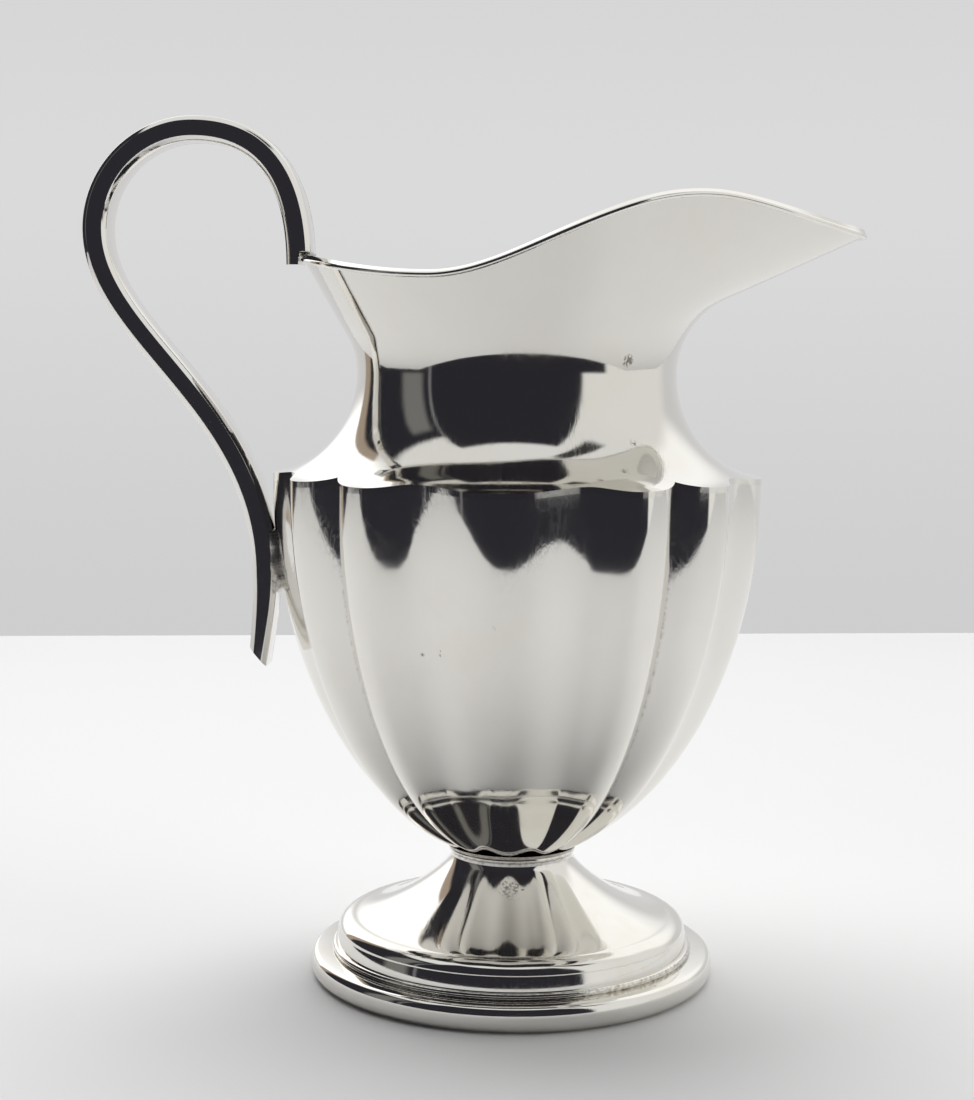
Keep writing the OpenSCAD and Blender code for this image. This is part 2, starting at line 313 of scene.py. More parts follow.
def neck_outline(a, d, rows):
    """Outline of the neck from shoulder to mouth, drawn in by the distance d."""
    a, u = a[:, None], np.linspace(0, 1, rows + 1)[None, :]
    g = edge_turn(a) * (1 - u)
    hollow = (pair(CAVETTO_R - REACH * cosd(g), WAIST_Z - RISE * sind(g))
              - d * side(pair(-REACH * sind(g), RISE * cosd(g))))
    if d:
        hollow[:, 0] = pair(edge_r(a), edge_z(a) - d)[:, 0]
    g = (90 - slope(a)) * u[:, 1:]
    turn = (pair(WAIST_R + rounding(a) * (1 - cosd(g)), WAIST_Z + rounding(a) * sind(g))
            - d * pair(cosd(g), -sind(g)))
    g = 90 - slope(a)
    start = pair(WAIST_R + rounding(a) * (1 - cosd(g)), WAIST_Z + rounding(a) * sind(g))
    length = (mouth_z(a) - start[..., 1]) / sind(slope(a))
    flare = (start + flare_dir(a) * (length * u[:, 1:])[..., None] - d * side(flare_dir(a)))
    return np.concatenate([hollow, turn, flare], axis=1)


OUTER_ROWS, INNER_ROWS = 22, 12      # points in each of the neck's three stretches
outer = neck_outline(angles, 0, OUTER_ROWS)
inner = neck_outline(angles, SHEET, INNER_ROWS)
neck = wall("neck_sheet", np.concatenate([outer, inner[:, ::-1]], axis=1), angles)

# %% [markdown]
# ## Node tools
# Geometry Nodes trees and materials are both built from nodes and links. A few
# helpers keep that short. `add` makes a node and sets or links its sockets by
# name, five more do so for one common node each, and `made_with` runs a finished
# Geometry Nodes tree and keeps its result as a plain mesh.

# %% Node helpers
def add(tree, kind, values=None, **settings):
    """Add a node; settings are its properties, values its sockets by name or number."""
    node = tree.nodes.new(kind)
    for key, value in settings.items():
        setattr(node, key, value)
    for key, value in (values or {}).items():
        if isinstance(value, bpy.types.NodeSocket):
            tree.links.new(value, node.inputs[key])
        else:
            node.inputs[key].default_value = value
    return node


def maths(tree, operation, a, b=0.0, c=0.0):
    return add(tree, "ShaderNodeMath", {0: a, 1: b, 2: c}, operation=operation).outputs[0]


def whole(tree, operation, a, b):
    """As maths, but for whole numbers."""
    return add(tree, "FunctionNodeIntegerMath", {0: a, 1: b}, operation=operation).outputs[0]


def ramp(tree, value, low, high, start=0.0, end=1.0, smooth=False):
    """A value's place between low and high, as a value between start and end."""
    return add(tree, "ShaderNodeMapRange",
               {"Value": value, "From Min": low, "From Max": high, "To Min": start,
                "To Max": end},
               interpolation_type="SMOOTHSTEP" if smooth else "LINEAR").outputs[0]


def noise(tree, place, scale, detail, roughness=0.5):
    return add(tree, "ShaderNodeTexNoise", {"Vector": place, "Scale": scale, "Detail": detail,
                                            "Roughness": roughness}).outputs[0]


def mixed_colour(tree, factor, under, over):
    return add(tree, "ShaderNodeMix", {0: factor, 6: under, 7: over}, data_type="RGBA").outputs[2]


def geometry_tree(name, **inputs):
    """Geometry Nodes tree with a geometry input and output and further named inputs."""
    tree = bpy.data.node_groups.new(name, "GeometryNodeTree")
    tree.interface.new_socket("Geometry", in_out="INPUT", socket_type="NodeSocketGeometry")
    tree.interface.new_socket("Geometry", in_out="OUTPUT", socket_type="NodeSocketGeometry")
    for key, kind in inputs.items():
        tree.interface.new_socket(key.replace("_", " "), in_out="INPUT", socket_type=kind)
    return tree, add(tree, "NodeGroupInput").outputs


def coated(tree, geometry, finish):
    """Last nodes of a tree: real geometry with its material, put out."""
    real = add(tree, "GeometryNodeRealizeInstances", {"Geometry": geometry}).outputs[0]
    covered = add(tree, "GeometryNodeSetMaterial", {"Geometry": real, "Material": finish})
    add(tree, "NodeGroupOutput", {"Geometry": covered.outputs[0]})
    print(tree.name, "tree,", len(tree.nodes), "nodes")
    return tree


def made_with(tree, source, name, **values):
    """Run a tree on a source object and keep the result as a plain mesh object."""
    modifier = source.modifiers.new("shape", "NODES")
    modifier.node_group = tree
    for item in tree.interface.items_tree:
        key = item.name.replace(" ", "_")
        if item.in_out == "INPUT" and key in values:
            modifier[item.identifier] = values[key]
    graph = bpy.context.evaluated_depsgraph_get()
    mesh = bpy.data.meshes.new_from_object(source.evaluated_get(graph))
    bpy.data.objects.remove(source)
    mesh.name = name
    return cleaned(name, mesh)


def drawn_line(name, points):
    """Closed loop of edges through points in millimetres, as the source of a tree."""
    count = len(points)
    return linked(name, mesh_from(name, points, [(i, (i + 1) % count) for i in range(count)]))


# %% [markdown]
# ## Mouth wire
# A thin wire is soldered round the outside of the mouth edge to stiffen it. It
# follows a path, so Geometry Nodes sweep it: the mouth line becomes a curve and
# Curve to Mesh carries a small circle along it. Half of the wire sinks into the
# sheet, which leaves the half-round bead that is seen.

# %% Mouth wire
tree, given = geometry_tree("swept_wire", Radius="NodeSocketFloat", Sides="NodeSocketInt",
                            Finish="NodeSocketMaterial")
path = add(tree, "GeometryNodeMeshToCurve", {"Mesh": given["Geometry"]})
circle = add(tree, "GeometryNodeCurvePrimitiveCircle",
             {"Resolution": given["Sides"], "Radius": given["Radius"]})
swept = add(tree, "GeometryNodeCurveToMesh",
            {"Curve": path.outputs[0], "Profile Curve": circle.outputs[0]})
wire_tree = coated(tree, swept.outputs[0], given["Finish"])

mouth = neck_outline(angles, 0, OUTER_ROWS)[:, -1:] - WIRE_R * flare_dir(angles)[:, None]
mouth_line = drawn_line("mouth_line", spun(mouth, angles)[:, 0])

# %% [markdown]
# ## Foot
# The foot is spun on a lathe from sheet and stands on a moulded ring, with a
# small collar between it and the bowl. All of them are turned from an outline,
# so one Geometry Nodes tree is the lathe: it samples the outline for each row of
# a grid and turns each column of the grid by its share of the full circle.

# %% Lathe
tree, given = geometry_tree("lathe", Divisions="NodeSocketInt", Outline_Points="NodeSocketInt",
                            Finish="NodeSocketMaterial")
columns = whole(tree, "ADD", given["Divisions"], 1)
rows = whole(tree, "ADD", given["Outline Points"], 1)
grid = add(tree, "GeometryNodeMeshGrid", {"Vertices X": columns, "Vertices Y": rows})
index = add(tree, "GeometryNodeInputIndex").outputs[0]
column = whole(tree, "DIVIDE_FLOOR", index, rows)
row = whole(tree, "MODULO", whole(tree, "MODULO", index, rows), given["Outline Points"])
position = add(tree, "GeometryNodeInputPosition").outputs[0]
sampled = add(tree, "GeometryNodeSampleIndex",
              {"Geometry": given["Geometry"], "Value": position, "Index": row},
              data_type="FLOAT_VECTOR")
turn = maths(tree, "MULTIPLY", maths(tree, "DIVIDE", column, given["Divisions"]), 2 * math.pi)
swung = add(tree, "ShaderNodeVectorRotate", {"Vector": sampled.outputs[0], "Angle": turn},
            rotation_type="Z_AXIS")
placed = add(tree, "GeometryNodeSetPosition",
             {"Geometry": grid.outputs[0], "Position": swung.outputs[0]})
lathe_tree = coated(tree, placed.outputs[0], given["Finish"])

# %% [markdown]
# The outlines are made of arcs. The spun foot sweeps down from its neck in a curve
# that is fuller than a quarter of an ellipse, bends over at the dome and ends in
# an upright band. The inside is the same outline drawn in by the sheet.

# %% Outlines of the foot
FINE = 48            # steps in the longest curve of an outline


def arc(centre, rx, rz, start, end, n):
    g = np.linspace(start, end, n + 1)
    return pair(centre[0] + rx * cosd(g), centre[1] + rz * sind(g))


def full_arc(centre, rx, rz, start, end, n):
    """Like an arc, but with a full shoulder in its upper half."""
    g = np.linspace(start, end, n + 1)
    c, s = cosd(g), sind(g)
    high = g > 0
    return pair(centre[0] + rx * np.where(high, np.abs(c) ** 0.6, c),
                centre[1] + rz * np.where(high, np.abs(s) ** 0.75, s))


def foot_outline(d):
    """Outline of the spun foot, drawn in by the distance d."""
    g = np.linspace(0, 90, FINE + 1)
    c, s = np.clip(cosd(g), 0, 1), np.clip(sind(g), 0, 1)
    sweep = pair(KNEE[0] - d * s - (KNEE[0] - FOOT_NECK_R) * c ** 1.5 - d * c,
                 FOOT_NECK_Z - d * s - (FOOT_NECK_Z - KNEE[1]) * s ** 1.5)
    over = arc((KNEE[0], BAND_Z), BAND_R - KNEE[0] - 0.1 - d, KNEE[1] - BAND_Z - d, 84, 0,
               FINE // 2)
    foot = pair(np.array([BAND_R - d] * 2), np.array([BAND_Z - 0.15, RING_H]))
    return np.concatenate([sweep, over, foot])


# %% [markdown]
# ## Handle
# The handle is a flat strap with bevelled edges, bent into a loop. It stands up
# from the back of the mouth, swings over and comes down to the side of the bowl,
# where it is soldered on and ends in a short free tail. Curve to Mesh could sweep
# it, but the tail gets thinner than the rest, so its sections are placed one by
# one along four smooth curves. Two cuts then fit it to the jug: a rebate over
# the mouth edge and a slanted end.

# %% Handle
LOOP_Z, LOOP_X = 105.9, 52.7         # height and reach of the strap's middle line
CROWN_X, LOOP_BACK_Z = -40.2, 93.5   # where it is highest and where it reaches farthest
ROOT = np.array([-27.05, 89.3])      # foot of the strap at the mouth edge
NOTCH = np.array([-27, 90.7])        # corner of the rebate over the mouth edge
SEAT = np.array([-31.4, 50.5])       # middle of the strap where it meets the bowl
TAIL_X, TAIL_Z, TAIL_CUT = -31, 38.6, 50             # place and slant of the cut end
CURVE_STEPS, CORNERS = 48, 8
AROUND = 3 * CORNERS                 # points round the strap, three for each corner
STRETCHES = [np.array(s, float) for s in (
    [ROOT, [ROOT[0], 101], [-32.2, LOOP_Z], [CROWN_X, LOOP_Z]],
    [[CROWN_X, LOOP_Z], [-47, LOOP_Z], [-LOOP_X, LOOP_BACK_Z + 6.8], [-LOOP_X, LOOP_BACK_Z]],
    [[-LOOP_X, LOOP_BACK_Z], [-LOOP_X, 80], [SEAT[0], 72], SEAT],
    [SEAT, [SEAT[0], 46.5], [-31.9, 43], [-32.6, TAIL_Z - 1]])]


def section_outline(thickness, soft=0.12):
    """Outline of the strap, across and through, with each corner slightly broken."""
    h, w = thickness / 2, STRAP_W / 2
    corners = np.array([[h, w - BEVEL], [h - BEVEL, w], [BEVEL - h, w], [-h, w - BEVEL],
                        [-h, BEVEL - w], [BEVEL - h, -w], [h - BEVEL, -w], [h, BEVEL - w]])
    out = []
    for i, corner in enumerate(corners):
        before, after = corners[i - 1] - corner, corners[(i + 1) % CORNERS] - corner
        a = corner + soft * before / np.linalg.norm(before)
        b = corner + soft * after / np.linalg.norm(after)
        out += [a, (a + 2 * corner + b) / 4, b]
    return np.array(out)


points = []
for number, p in enumerate(STRETCHES):
    last = number == len(STRETCHES) - 1
    for u in np.linspace(0, 1, CURVE_STEPS + 1)[:None if last else -1]:
        middle = ((1 - u) ** 3 * p[0] + 3 * u * (1 - u) ** 2 * p[1]
                  + 3 * u * u * (1 - u) * p[2] + u ** 3 * p[3])
        direction = ((1 - u) ** 2 * (p[1] - p[0]) + 2 * u * (1 - u) * (p[2] - p[1])
                     + u * u * (p[3] - p[2]))
        across = side(direction)
        for q in section_outline(STRAP_T + (TAIL_T - STRAP_T) * u * last):
            points.append([middle[0] + across[0] * q[0], q[1], middle[1] + across[1] * q[0]])
count = len(points) // AROUND
faces = [(i * AROUND + j, (i + 1) * AROUND + j, (i + 1) * AROUND + (j + 1) % AROUND,
          i * AROUND + (j + 1) % AROUND) for i in range(count - 1) for j in range(AROUND)]
faces += [tuple(range(AROUND)), tuple(range((count - 1) * AROUND, count * AROUND))[::-1]]
handle = finish_mesh("strap_handle", points, faces, sharp=60)


def cut_away(obj, low, high, at=(0, 0, 0), turned=0):
    """Cut a box, in millimetres and turned about Y at a point, out of an object."""
    corners = [(x, y, z) for x in (low[0], high[0]) for y in (low[1], high[1])
               for z in (low[2], high[2])]
    block = finish_mesh("block", corners, [(0, 1, 3, 2), (4, 6, 7, 5), (0, 4, 5, 1),
                                           (2, 3, 7, 6), (0, 2, 6, 4), (1, 5, 7, 3)])
    block.data.transform(Matrix.Translation([v * MM for v in at])
                         @ Matrix.Rotation(math.radians(turned), 4, "Y"))
    cut = obj.modifiers.new("cut", "BOOLEAN")
    cut.operation, cut.solver, cut.object = "DIFFERENCE", "EXACT", block
    graph = bpy.context.evaluated_depsgraph_get()
    mesh = bpy.data.meshes.new_from_object(obj.evaluated_get(graph))
    obj.modifiers.clear()
    obj.data = mesh
    bpy.data.objects.remove(block)


cut_away(handle, (NOTCH[0], -STRAP_W, ROOT[1] - 5), (NOTCH[0] + 5, STRAP_W, NOTCH[1]))
cut_away(handle, (-6, -STRAP_W, -6), (6, STRAP_W, 0), at=(TAIL_X, 0, TAIL_Z), turned=TAIL_CUT)
handle.data.shade_smooth()
handle.data.set_sharp_from_angle(angle=math.radians(40))

# %% [markdown]
# ## Silver
# Polished silver is a metal with hardly any colour of its own: what is seen is
# what it mirrors, bent by every small unevenness of the sheet. So the finish is
# mostly a matter of the surface. Four effects are shared by all its materials
# and are node groups, which put out masks, heights and colours. The first is the
# slow waves that hammering leaves, with weaker and finer ones on top.

# %% Planished waves
def shader_group(name, inputs, outputs):
    tree = bpy.data.node_groups.new(name, "ShaderNodeTree")
    for key, (kind, value) in inputs.items():
        socket = tree.interface.new_socket(key, in_out="INPUT", socket_type=kind)
        if value is not None:
            socket.default_value = value
    for key, kind in outputs.items():
        tree.interface.new_socket(key, in_out="OUTPUT", socket_type=kind)
    return tree, add(tree, "NodeGroupInput").outputs


FLOAT, VECTOR, COLOUR = "NodeSocketFloat", "NodeSocketVector", "NodeSocketColor"

tree, given = shader_group(
    "planished_waves",
    {"Vector": (VECTOR, None), "Scale": (FLOAT, 60.0), "Fine Share": (FLOAT, 0.2)},
    {"Height": FLOAT})
slow = noise(tree, given["Vector"], given["Scale"], 1.0, 0.4)
fine = noise(tree, given["Vector"], maths(tree, "MULTIPLY", given["Scale"], 4.3), 1.0, 0.4)
grain = noise(tree, given["Vector"], maths(tree, "MULTIPLY", given["Scale"], 17.0), 0.0)
grain_share = maths(tree, "MULTIPLY", given["Fine Share"], 0.12)
waves = maths(tree, "MULTIPLY_ADD", fine, given["Fine Share"], slow)
waves = maths(tree, "MULTIPLY_ADD", grain, grain_share, waves)
add(tree, "NodeGroupOutput", {"Height": waves})
waves_group = tree
print("waves group", len(tree.nodes), "nodes")

# %% [markdown]
# Polishing scratches run straight for a while in a few directions. Noise that is
# stretched along one axis draws such lines where it crosses its middle value. A
# second noise leaves some patches less scratched than others.

# %% Polishing scratches
tree, given = shader_group(
    "polish_scratches",
    {"Vector": (VECTOR, None), "Scale": (FLOAT, 900.0), "Density": (FLOAT, 0.5)},
    {"Mask": FLOAT, "Height": FLOAT})
lines = None
for number, (turn_x, turn_z) in enumerate(((0.3, 0.9), (1.2, 2.1), (2.2, 0.2))):
    laid = add(tree, "ShaderNodeMapping", {"Vector": given["Vector"],
                                           "Rotation": (turn_x, 0.4 * number, turn_z),
                                           "Scale": (1.0, 0.035, 0.3)})
    grain = noise(tree, laid.outputs[0], given["Scale"], 2.0)
    ridge = maths(tree, "ABSOLUTE", maths(tree, "SUBTRACT", grain, 0.5))
    line = ramp(tree, ridge, 0.0, 0.03, 1.0, 0.0)
    lines = line if lines is None else maths(tree, "MAXIMUM", lines, line)
patch = noise(tree, given["Vector"], 130.0, 2.0)
mask = maths(tree, "MULTIPLY", lines, ramp(tree, patch, 0.35, 0.75, 0.0, given["Density"]))
add(tree, "NodeGroupOutput", {"Mask": mask, "Height": maths(tree, "MULTIPLY", mask, -1.0)})
scratch_group = tree
print("scratches group", len(tree.nodes), "nodes")

# %% [markdown]
# Tarnish is a thin yellow film in clouds, and a dark stain where the shelter
# attribute says that a cloth doesn't reach.

# %% Tarnish
tree, given = shader_group(
    "tarnish",
    {"Vector": (VECTOR, None), "Scale": (FLOAT, 90.0), "Amount": (FLOAT, 0.4),
     "Shelter": (FLOAT, 0.0), "Silver": (COLOUR, (0.86, 0.85, 0.82, 1)),
     "Film": (COLOUR, (0.66, 0.58, 0.45, 1)), "Stain": (COLOUR, (0.10, 0.08, 0.06, 1))},
    {"Colour": COLOUR, "Mask": FLOAT})
cloud = noise(tree, given["Vector"], given["Scale"], 5.0, 0.62)
film = maths(tree, "MULTIPLY", ramp(tree, cloud, 0.48, 0.75), given["Amount"])
crumb = noise(tree, given["Vector"], maths(tree, "MULTIPLY", given["Scale"], 24.0), 3.0)
held = maths(tree, "MULTIPLY", given["Shelter"], maths(tree, "MULTIPLY", crumb, 2.0))
held = ramp(tree, held, 0.25, 1.1, smooth=True)
tint = mixed_colour(tree, film, given["Silver"], given["Film"])
tint = mixed_colour(tree, held, tint, given["Stain"])
add(tree, "NodeGroupOutput", {"Colour": tint, "Mask": maths(tree, "MAXIMUM", film, held)})
tarnish_group = tree
print("tarnish group", len(tree.nodes), "nodes")

# %% [markdown]
# Nicks are small dots, one in some cells of a Voronoi pattern. Where the worn
# attribute is set, fine noise adds pits that lie close together.

# %% Nicks and pits
tree, given = shader_group(
    "nicks",
    {"Vector": (VECTOR, None), "Scale": (FLOAT, 220.0), "Size": (FLOAT, 0.08),
     "Share": (FLOAT, 0.3), "Patch": (FLOAT, 0.0)},
    {"Mask": FLOAT, "Height": FLOAT})
cells = add(tree, "ShaderNodeTexVoronoi", {"Vector": given["Vector"], "Scale": given["Scale"]})
dot = ramp(tree, cells.outputs["Distance"], 0.0, given["Size"], 1.0, 0.0, smooth=True)
pick = add(tree, "ShaderNodeSeparateColor", {"Color": cells.outputs["Color"]})
chosen = maths(tree, "LESS_THAN", pick.outputs[0], given["Share"])
pits = noise(tree, given["Vector"], 2600.0, 2.0, 0.6)
pitted = maths(tree, "MULTIPLY", given["Patch"], maths(tree, "MULTIPLY", pits, 2.0))
pitted = ramp(tree, pitted, 0.62, 1.0, smooth=True)
mask = maths(tree, "MAXIMUM", maths(tree, "MULTIPLY", dot, chosen), pitted)
add(tree, "NodeGroupOutput", {"Mask": mask, "Height": maths(tree, "MULTIPLY", mask, -1.0)})
nick_group = tree
print("nicks group", len(tree.nodes), "nodes")

# %% [markdown]
# Every silver finish is the same recipe with its own values. The recipe could be
# a node group with the whole shader inside, but the shader has to stay in the
# material itself for the model to be exported, so a function lays it out anew
# for each material, and the groups supply the patterns.

# %% Silver materials
SCRATCH_DULL, STAIN_DULL, NICK_DULL = 0.12, 0.25, 0.3    # roughness each one adds
PIT_COLOUR = (0.12, 0.09, 0.07, 1)
MARK_DEPTH, NICK_TIMES = 0.002 * MM, 5.0     # depth of a scratch; a nick is deeper


def silver(name, tone, polish, waves, scratches, stain, nicks, wave_scale=60.0):
    """Silver of a colour and roughness; depth of its waves in mm; share of each mark."""
    material = bpy.data.materials.new(name)
    material.use_nodes = True
    tree = material.node_tree
    tree.nodes.clear()
    place = add(tree, "ShaderNodeTexCoord").outputs["Object"]

    def group(kind, **values):
        node = tree.nodes.new("ShaderNodeGroup")
        node.node_tree = kind
        tree.links.new(place, node.inputs["Vector"])
        for key, value in values.items():
            if isinstance(value, bpy.types.NodeSocket):
                tree.links.new(value, node.inputs[key])
            else:
                node.inputs[key].default_value = value
        return node.outputs

    def own(attribute):
        return add(tree, "ShaderNodeAttribute", attribute_name=attribute).outputs["Fac"]

    wave = group(waves_group, Scale=wave_scale)
    scratch = group(scratch_group, Density=scratches)
    dull = group(tarnish_group, Amount=stain, Silver=(*tone, 1), Shelter=own("shelter"))
    nick = group(nick_group, Share=nicks, Patch=own("worn"))

    rough = ramp(tree, scratch["Mask"], 0.0, 1.0, polish, polish + SCRATCH_DULL)
    rough = maths(tree, "MULTIPLY_ADD", dull["Mask"], STAIN_DULL, rough)
    rough = maths(tree, "MULTIPLY_ADD", nick["Mask"], NICK_DULL, rough)
    uneven = add(tree, "ShaderNodeBump", {"Strength": 1.0, "Distance": waves * MM,
                                          "Height": wave["Height"]})
    marks = maths(tree, "MULTIPLY_ADD", nick["Height"], NICK_TIMES, scratch["Height"])
    marked = add(tree, "ShaderNodeBump", {"Strength": 1.0, "Distance": MARK_DEPTH,
                                          "Height": marks, "Normal": uneven.outputs[0]})
    pitted = maths(tree, "MULTIPLY", nick["Mask"], 0.75)
    colour = mixed_colour(tree, pitted, dull["Colour"], PIT_COLOUR)
    shader = add(tree, "ShaderNodeBsdfPrincipled",
                 {"Base Color": colour, "Metallic": 1.0, "Roughness": rough,
                  "Normal": marked.outputs[0]})
    add(tree, "ShaderNodeOutputMaterial", {"Surface": shader.outputs[0]})
    print("finish", name)
    return material


# name, colour, roughness, waves, scratches, stain, nicks
silver_body = silver("silver_body", (0.79, 0.775, 0.735), 0.065, 0.06, 0.7, 0.18, 0.04)
# neck: own silver tone, darkened as painted shade for the shaded table its flare mirrors
silver_neck = silver("silver_neck", (0.74, 0.725, 0.685), 0.055, 0.055, 0.7, 0.15, 0.03)
silver_wire = silver("silver_wire", (0.80, 0.785, 0.745), 0.06, 0.01, 0.4, 0.2, 0.0)
silver_foot = silver("silver_foot", (0.79, 0.775, 0.735), 0.055, 0.02, 0.6, 0.3, 0.15)
silver_strap = silver("silver_strap", (0.80, 0.785, 0.755), 0.06, 0.02, 0.6, 0.2, 0.1)
silver_solder = silver("silver_solder", (0.50, 0.48, 0.44), 0.2, 0.08, 0.3, 0.5, 0.4,
                       wave_scale=400.0)

# %% [markdown]
# ## Swept and turned pieces
# The two trees now run with their finishes. Each outline is a closed loop of
# (distance from the axis, height), and the joints of solder are turned as well.

# %% Wire, foot, ring, collar and the round joints
mouth_wire = made_with(wire_tree, mouth_line, "mouth_wire",
                       Radius=WIRE_R * MM, Sides=16, Finish=silver_wire)
DIVISIONS = 360      # of the full circle, for every turned piece


def turned(name, outline, finish):
    r, z = np.asarray(outline, float).T
    source = drawn_line(name, np.stack([r, 0 * r, z], -1))
    return made_with(lathe_tree, source, name, Divisions=DIVISIONS, Outline_Points=len(r),
                     Finish=finish)


foot = turned("foot_sheet", np.concatenate(
    [foot_outline(0), foot_outline(FOOT_SHEET)[::-1]]), silver_foot)
ring = turned("foot_moulding", np.concatenate([
    [[FOOT_IN, 0]], full_arc((FOOT_R - BULGE, RING_H / 2), BULGE, RING_H / 2, -90, 80, FINE),
    arc((BAND_R + 0.25, RING_H + BEAD), BEAD, BEAD, -60, 90, 14),
    [[BAND_R, RING_H + 2 * BEAD], [BAND_R, RING_H], [FOOT_IN, RING_H]]]), silver_foot)
COLLET_R, COLLET_Z, COLLET_IN = 8, FOOT_NECK_Z + 1.05, 6.6
collar = turned("foot_collar", np.concatenate([
    [[COLLET_IN, FOOT_NECK_Z], [FOOT_NECK_R, FOOT_NECK_Z]],
    arc((COLLET_R - 0.4, FOOT_NECK_Z + 0.75), 0.4, 0.4, -70, 60, 12),
    [[COLLET_IN, COLLET_Z - 0.25]]]), silver_foot)
foot_joint = turned("foot_joint_solder", [
    [COLLET_R - 0.3, COLLET_Z + 0.12], [COLLET_R - 0.02, COLLET_Z - 0.1],
    [COLLET_R + 0.35, COLLET_Z + 0.37]], silver_solder)
ring_joint = turned("ring_joint_solder", [
    [FOOT_IN, RING_H + 0.7], [FOOT_IN - 0.6, RING_H - 0.3], [FOOT_IN, RING_H - 0.9]],
    silver_solder)

# %% [markdown]
# ## Solder
# Solder flows into every joint and freezes as a small uneven fillet. Inside the
# shoulder it is a ring that follows the scallops; at the two ends of the handle
# it is a lump. The lumps start as a rounded block whose points are pushed about
# by noise.

# %% Solder
LEG = 0.9                # length of the fillet along each sheet
line = neck_outline(angles, SHEET, 12)
step = line[:, 1] - line[:, 0]


def under(d):
    """Points on the inner face of the neck, drawn on from its edge by d towards the axis."""
    return line[:, 0] - step * d / step[:, :1]


shoulder_joint = wall("shoulder_joint_solder", np.stack(
    [pair(edge_r(angles) - SHEET, edge_z(angles) - SHEET - LEG), under(SHEET),
     under(SHEET + LEG)], 1), angles)


LUMP_W = STRAP_W + 0.6   # a little wider than the strap
ROUGH = 0.12             # how far noise pushes the points in
CUTS, WAVES = 3, 6       # rounds of cutting finer, and sine waves in the noise


def lump(name, outline, seed):
    """Uneven lump: an outline in the plane of the handle, carried across and rounded."""
    outline = np.asarray(outline, float)
    n = len(outline)
    vertices = [(x, y, z) for y in (-LUMP_W / 2, LUMP_W / 2) for x, z in outline]
    faces = [tuple(range(n)), tuple(range(2 * n - 1, n - 1, -1))]
    faces += [(i, n + i, n + (i + 1) % n, (i + 1) % n) for i in range(n)]
    obj = finish_mesh(name, vertices, faces)
    bm = bmesh.new()
    bm.from_mesh(obj.data)
    bmesh.ops.triangulate(bm, faces=[f for f in bm.faces if len(f.verts) > 4])
    for _ in range(CUTS):
        bmesh.ops.subdivide_edges(bm, edges=bm.edges, cuts=1, use_grid_fill=True)
        bmesh.ops.smooth_vert(bm, verts=bm.verts, factor=0.35, use_axis_x=True,
                              use_axis_y=True, use_axis_z=True)
    bmesh.ops.triangulate(bm, faces=bm.faces)
    rng = np.random.default_rng(seed)
    waves = rng.normal(0, 1.6 / MM, (WAVES, 3))
    phases = rng.uniform(0, 2 * math.pi, WAVES)
    bm.normal_update()
    for v in bm.verts:
        push = sum(math.sin(Vector(w).dot(v.co) + p) for w, p in zip(waves, phases)) / WAVES
        v.co += v.normal * (push - 0.4) * ROUGH * MM
    bm.to_mesh(obj.data)
    bm.free()
    obj.data.shade_smooth()
    return obj


rim_joint = lump("rim_joint_solder", [
    NOTCH + (0, 0.35), NOTCH + (0, -0.5), (-26.62, 90.3), (-26, 90.66), (-25.6, 90.4),
    (-25.45, NOTCH[1] + 0.2), (-26.2, NOTCH[1] + 0.4)], seed=3)
bowl_joint = lump("bowl_joint_solder", [
    SEAT + (0.8, -2.9), SEAT + (0.5, 1), SEAT + (0.3, 5.6), SEAT + (3, 7.2), SEAT + (3, -1.5)],
    seed=5)

# %% [markdown]
# ## Shelter and wear
# Tarnish stays where a cloth does not reach: in the creases between the lobes, in
# the quirks of the foot and beside the solder. A texture can't know where that is,
# but the outline can, so each point stores how sheltered it is as an attribute. A
# second attribute marks the few spots where the surface is pitted from wear. A
# spot is an angle round the jug and a height; the outline there gives its radius.

# %% Shelter and wear
def bell(distance, width):
    return np.exp(-(distance / width) ** 2)


def sheltered(name, x, y, z):
    """How sheltered each point of a piece is, 0 to 1, from its place in millimetres."""
    r, a = np.hypot(x, y), np.degrees(np.arctan2(y, x))
    if name == "bowl_sheet":
        down = (SHOULDER_Z - z) / BOWL_DEPTH
        wall_r = edge_r(a) * np.sqrt(np.clip(1 - down ** 2, 0, 1))
        crease = bell(45 - lobe_angle(a), 0.9) * (r > wall_r - 0.4)
        seam = bell(edge_z(a) - SHEET - z, 0.5)
        return np.maximum(0.5 * crease, 0.3 * seam)
    if name == "neck_sheet":
        return 0.25 * bell(z - edge_z(a), 0.5)
    if name == "foot_sheet":
        quirk, top = bell(z - RING_H - 2 * BEAD, 0.25), bell(z - FOOT_NECK_Z, 0.5)
        return np.maximum(0.45 * quirk, 0.35 * top)
    if name == "foot_moulding":
        return 0.5 * bell(r - BAND_R - 0.6, 0.3) * (z > RING_H - 0.5)
    if name == "foot_collar":
        return 0.35 + 0.2 * bell(z - FOOT_NECK_Z - 0.4, 0.3)
    if name == "strap_handle":
        at_rim = bell(np.hypot(x - NOTCH[0], z - NOTCH[1]), 1.0)
        at_bowl = bell((z - SEAT[1] - 2) / 5, 1) * bell(x - SEAT[0] - 1.4, 0.8)
        return 0.5 * np.maximum(at_rim, at_bowl)
    return np.full(len(x), 0.45 if "solder" in name else 0.15)


def foot_at(angle):
    return foot_outline(0)


def neck_at(angle):
    return neck_outline(np.array([angle]), 0, OUTER_ROWS)[0]


def bowl_at(angle):
    return bowl_outline(np.array([angle]), np.linspace(0, 1, OUTER_POINTS))[0][0]


def on_surface(outline, angle, height):
    """Point of an outline at a height, turned to an angle round the jug."""
    r, z = outline[np.argsort(outline[:, 1])].T
    radius = np.interp(height, z, r)
    return np.array([radius * cosd(angle), radius * sind(angle), height])


